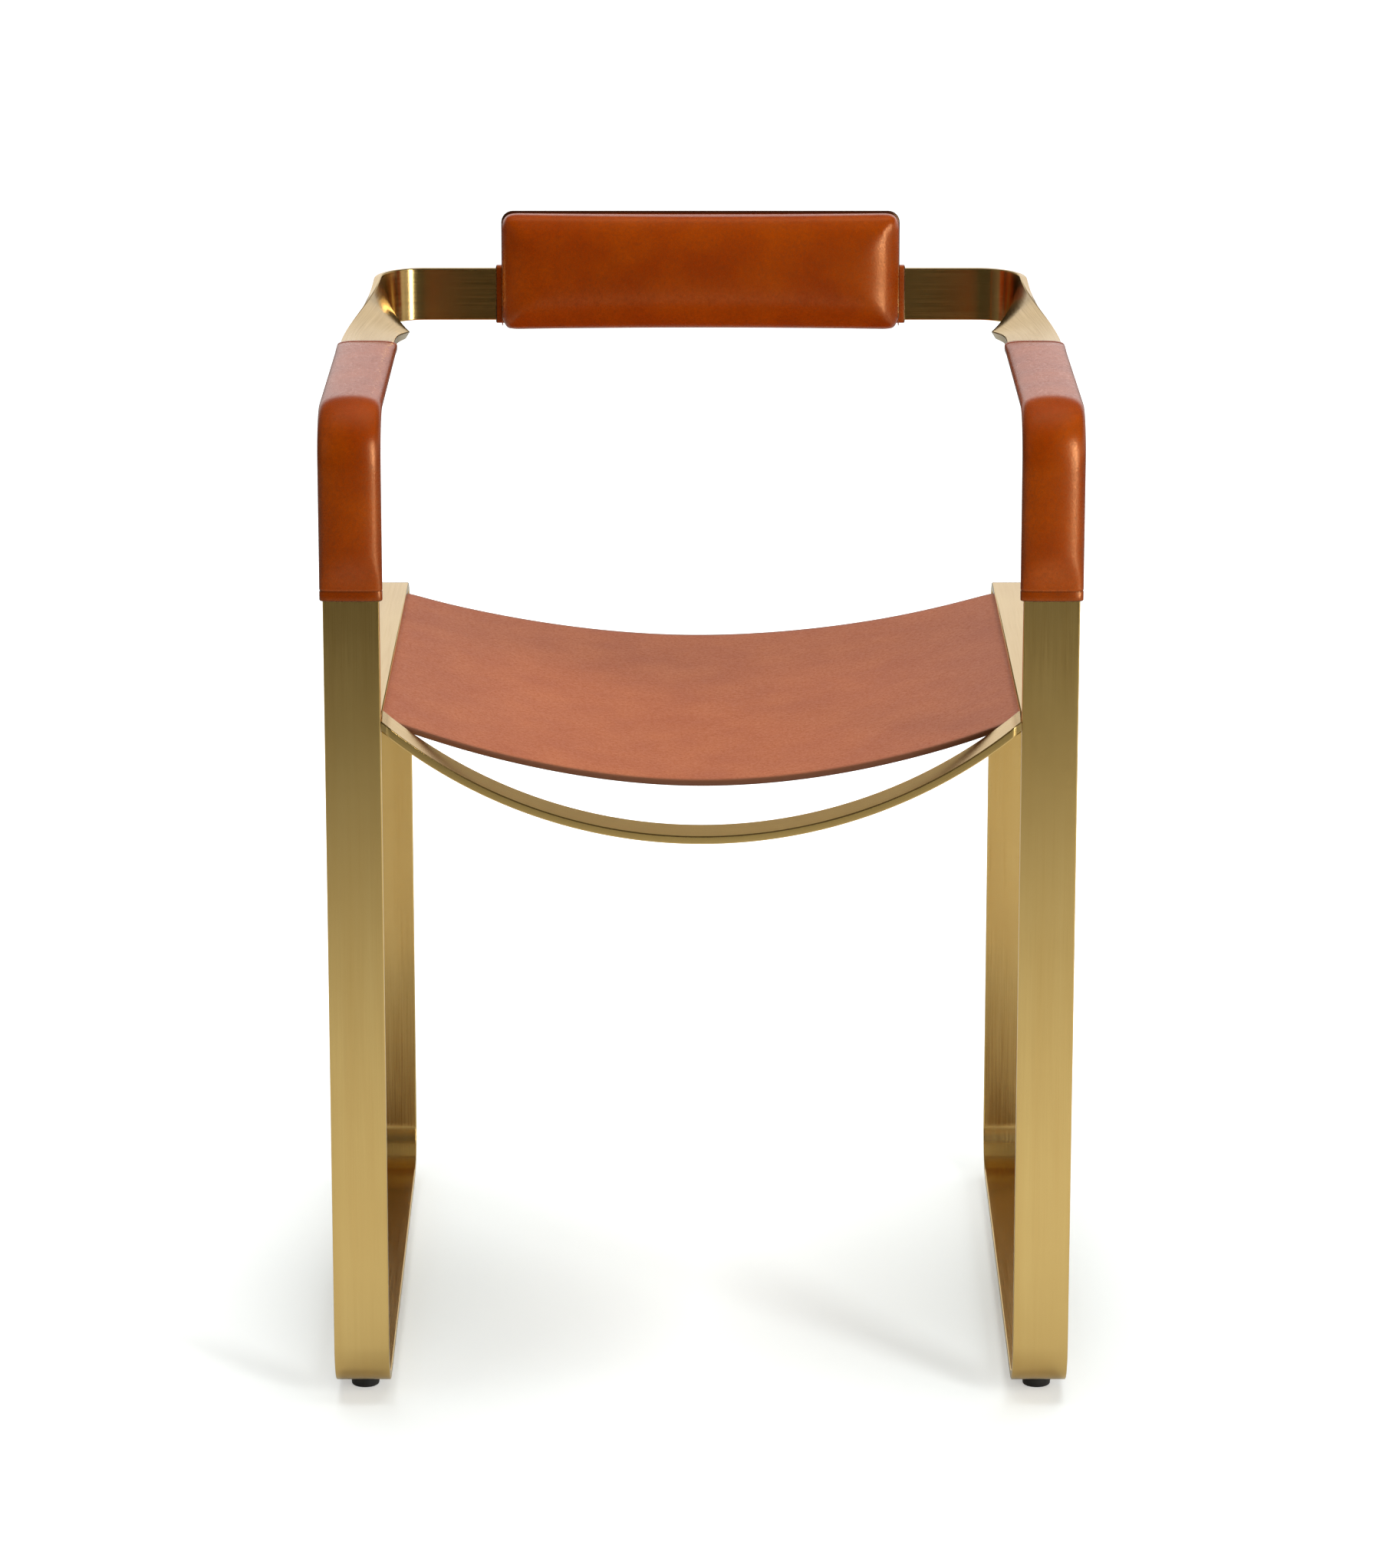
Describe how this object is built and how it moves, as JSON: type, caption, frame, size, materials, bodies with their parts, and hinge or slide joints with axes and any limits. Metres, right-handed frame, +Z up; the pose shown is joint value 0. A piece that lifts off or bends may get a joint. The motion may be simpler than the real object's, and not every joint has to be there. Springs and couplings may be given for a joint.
{
  "type": "dining armchair",
  "caption": "Dining armchair bent from flat brass bar, with looped side frames, arms that twist into a back rail, a hung leather seat, leather arm sleeves and a back cushion.",
  "frame": {"origin": "on the floor, under the middle of the chair's bounding box", "axes": "+Z up, the sitter faces -Y, +X is to the right for someone standing in front of the chair and looking at it"},
  "size_m": [0.5386, 0.5084, 0.79],
  "materials": {
    "brushed_brass": "flat bar, brushed along its length and lacquered",
    "saddle_leather": "smooth cognac saddle leather with a waxed sheen",
    "seat_leather": "thick tan hide with a matt face and dark burnished edges",
    "zinc_steel": "zinc plated",
    "black_plastic": "moulded, fine texture",
    "padding_foam": "open cell foam",
    "birch_plywood": "sanded birch plywood"
  },
  "bodies": {
    "root": {"side_frame_left": "brushed_brass", "arm_sleeve_left": "saddle_leather", "seat_clamp_left": "zinc_steel", "seat_screw_left_1": "zinc_steel", "seat_screw_left_2": "zinc_steel", "seat_screw_left_3": "zinc_steel", "seat_screw_left_4": "zinc_steel", "seat_screw_left_5": "zinc_steel", "glide_front_left": "black_plastic", "glide_screw_front_left": "zinc_steel", "glide_rear_left": "black_plastic", "glide_screw_rear_left": "zinc_steel", "side_frame_right": "brushed_brass", "arm_sleeve_right": "saddle_leather", "seat_clamp_right": "zinc_steel", "seat_screw_right_1": "zinc_steel", "seat_screw_right_2": "zinc_steel", "seat_screw_right_3": "zinc_steel", "seat_screw_right_4": "zinc_steel", "seat_screw_right_5": "zinc_steel", "glide_front_right": "black_plastic", "glide_screw_front_right": "zinc_steel", "glide_rear_right": "black_plastic", "glide_screw_rear_right": "zinc_steel", "back_hoop": "brushed_brass", "seat_arch": "brushed_brass", "seat_sling": "seat_leather", "back_pad_cover": "saddle_leather", "back_pad_foam": "padding_foam", "back_pad_board": "birch_plywood", "back_pad_rear_panel": "saddle_leather", "back_rail_wrap": "saddle_leather", "back_pad_screw_1": "zinc_steel", "back_pad_screw_2": "zinc_steel", "back_pad_screw_3": "zinc_steel", "back_pad_screw_4": "zinc_steel"}
  },
  "joints": []
}
